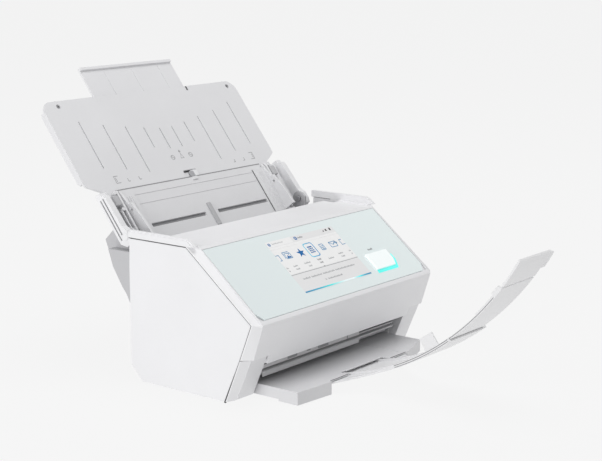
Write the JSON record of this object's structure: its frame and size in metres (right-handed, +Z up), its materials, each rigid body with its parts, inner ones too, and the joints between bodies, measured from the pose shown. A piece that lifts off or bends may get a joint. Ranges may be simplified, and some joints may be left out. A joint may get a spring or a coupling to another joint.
{
  "type": "sheet fed document scanner",
  "caption": "Desktop sheet fed document scanner with a sloping touch screen front, a raised paper chute at the back and a curved slide-out paper stacker.",
  "frame": {"origin": "on the floor plane, in the middle of the width, about a third of the body's depth behind the front of the base; the rubber feet stand at Z = 0 and the base plate's underside is 0.7 mm above it", "axes": "+Z up, +X to the scanner's right as seen from its front, +Y from the front of the scanner to its back"},
  "size_m": [0.292, 0.5096, 0.2936],
  "materials": {
    "white_shell": "fine satin moulded ABS",
    "grey_panel": "fine matt moulded ABS",
    "mid_grey": "matt moulded ABS",
    "dark_plastic": "matt black plastic",
    "screen_glass": "smooth glass with a pale back print",
    "scan_glass": "clear float glass",
    "display": "display module behind the glass",
    "rubber": "matt rubber",
    "roller_grey": "smooth moulded roller",
    "steel": "bright rolled steel",
    "circuit_board": "solder masked board"
  },
  "bodies": {
    "base": {"base_casing": "grey_panel", "left_side_cover": "white_shell", "right_side_cover": "white_shell", "rear_cover": "white_shell", "rear_hood": "mid_grey", "left_frame": "steel", "right_frame": "steel", "left_hinge_pin": "steel", "right_hinge_pin": "steel", "lower_guide": "mid_grey", "rear_scan_unit": "dark_plastic", "rear_scan_glass": "scan_glass", "main_board": "circuit_board", "usb_socket": "steel", "power_socket": "dark_plastic", "drive_motor": "steel", "base_plate": "steel", "front_left_foot": "rubber", "front_right_foot": "rubber", "rear_left_foot": "rubber", "rear_right_foot": "rubber", "main_belt": "rubber"},
    "motor_spindle": {"motor_shaft": "steel", "motor_pulley": "white_shell"},
    "feed_axle": {"feed_shaft": "steel", "feed_pulley": "white_shell", "left_feed_tyre": "rubber", "right_feed_tyre": "rubber"},
    "pick_axle": {"pick_shaft": "steel", "pick_pulley": "white_shell", "left_pick_tyre": "rubber", "right_pick_tyre": "rubber"},
    "exit_axle": {"exit_shaft": "steel", "exit_pulley": "white_shell", "left_exit_tyre": "rubber", "right_exit_tyre": "rubber"},
    "cover": {"front_cover": "white_shell", "touch_glass": "screen_glass", "upper_guide": "grey_panel", "front_scan_unit": "dark_plastic", "front_scan_glass": "scan_glass", "lcd_panel": "display"},
    "button": {"scan_button": "white_shell"},
    "brake_axle": {"brake_roller": "roller_grey"},
    "idler_axle": {"exit_idler": "roller_grey"},
    "chute_frame": {"hopper_bed": "grey_panel", "left_chute_arm": "white_shell", "right_chute_arm": "white_shell", "left_slide_rail": "mid_grey", "right_slide_rail": "mid_grey", "panel_latch": "white_shell"},
    "panel": {"chute_panel": "grey_panel"},
    "extension": {"chute_extension": "grey_panel"},
    "left_guide": {"left_side_guide": "grey_panel"},
    "right_guide": {"right_side_guide": "grey_panel"},
    "tray": {"stacker_tray": "grey_panel"},
    "arm": {"stacker_arm": "grey_panel"},
    "arm_tip": {"arm_extension": "grey_panel"},
    "flap": {"end_flap": "grey_panel"}
  },
  "joints": [
    {"name": "motor_turn", "type": "hinge", "parent": "base", "child": "motor_spindle", "pos_m": [0, 0.027, 0.033], "axis": [1, 0, 0], "range_deg": [-180, 180]},
    {"name": "feed_turn", "type": "hinge", "parent": "base", "child": "feed_axle", "pos_m": [0, 0.0662, 0.0831], "axis": [1, 0, 0], "range_deg": [-120, 120]},
    {"name": "pick_turn", "type": "hinge", "parent": "base", "child": "pick_axle", "pos_m": [0, 0.0861, 0.1056], "axis": [1, 0, 0], "range_deg": [-120, 120]},
    {"name": "exit_turn", "type": "hinge", "parent": "base", "child": "exit_axle", "pos_m": [0, -0.0226, 0.0249], "axis": [1, 0, 0], "range_deg": [-180, 180]},
    {"name": "cover_open", "type": "hinge", "parent": "base", "child": "cover", "pos_m": [0, -0.0672, 0.0442], "axis": [1, 0, 0], "range_deg": [0, 74.48]},
    {"name": "button_press", "type": "slide", "parent": "cover", "child": "button", "axis": [0, 0.6338, -0.7735], "range_m": [0, 0.001], "stiffness_N_per_m": 400, "springref_m": -0.0008},
    {"name": "brake_turn", "type": "hinge", "parent": "cover", "child": "brake_axle", "pos_m": [0, 0.0515, 0.0947], "axis": [1, 0, 0], "range_deg": [-180, 180]},
    {"name": "idler_turn", "type": "hinge", "parent": "cover", "child": "idler_axle", "pos_m": [0, -0.0262, 0.0385], "axis": [1, 0, 0], "range_deg": [-180, 180]},
    {"name": "chute_close", "type": "hinge", "parent": "base", "child": "chute_frame", "pos_m": [0, 0.09, 0.1415], "axis": [1, 0, 0], "range_deg": [0, 127.63]},
    {"name": "panel_slide", "type": "slide", "parent": "chute_frame", "child": "panel", "axis": [0, 0.6157, 0.788], "range_m": [-0.06, 0]},
    {"name": "extension_slide", "type": "slide", "parent": "panel", "child": "extension", "axis": [0, 0.6157, 0.788], "range_m": [-0.032, 0]},
    {"name": "left_guide_slide", "type": "slide", "parent": "chute_frame", "child": "left_guide", "axis": [1, 0, 0], "range_m": [0, 0.07]},
    {"name": "right_guide_slide", "type": "slide", "parent": "chute_frame", "child": "right_guide", "axis": [1, 0, 0], "range_m": [-0.07, 0]},
    {"name": "tray_slide", "type": "slide", "parent": "base", "child": "tray", "axis": [0, 1, 0], "range_m": [0, 0.04]},
    {"name": "arm_slide", "type": "hinge", "parent": "tray", "child": "arm", "pos_m": [0, -0.038, 0.286], "axis": [1, 0, 0], "range_deg": [0, 18.91]},
    {"name": "arm_tip_slide", "type": "hinge", "parent": "arm", "child": "arm_tip", "pos_m": [0, -0.038, 0.286], "axis": [1, 0, 0], "range_deg": [0, 13.75]},
    {"name": "flap_fold", "type": "hinge", "parent": "arm_tip", "child": "flap", "pos_m": [0, -0.26567, 0.1218], "axis": [1, 0, 0], "range_deg": [-31.51, 0]}
  ],
  "couplings": [
    {"joint": "feed_turn", "follows": "motor_turn", "ratio": 0.66667},
    {"joint": "pick_turn", "follows": "motor_turn", "ratio": 0.66667},
    {"joint": "exit_turn", "follows": "motor_turn", "ratio": 1},
    {"joint": "panel_slide", "follows": "chute_close", "m_per_rad": -0.026935},
    {"joint": "right_guide_slide", "follows": "left_guide_slide", "ratio": -1}
  ]
}
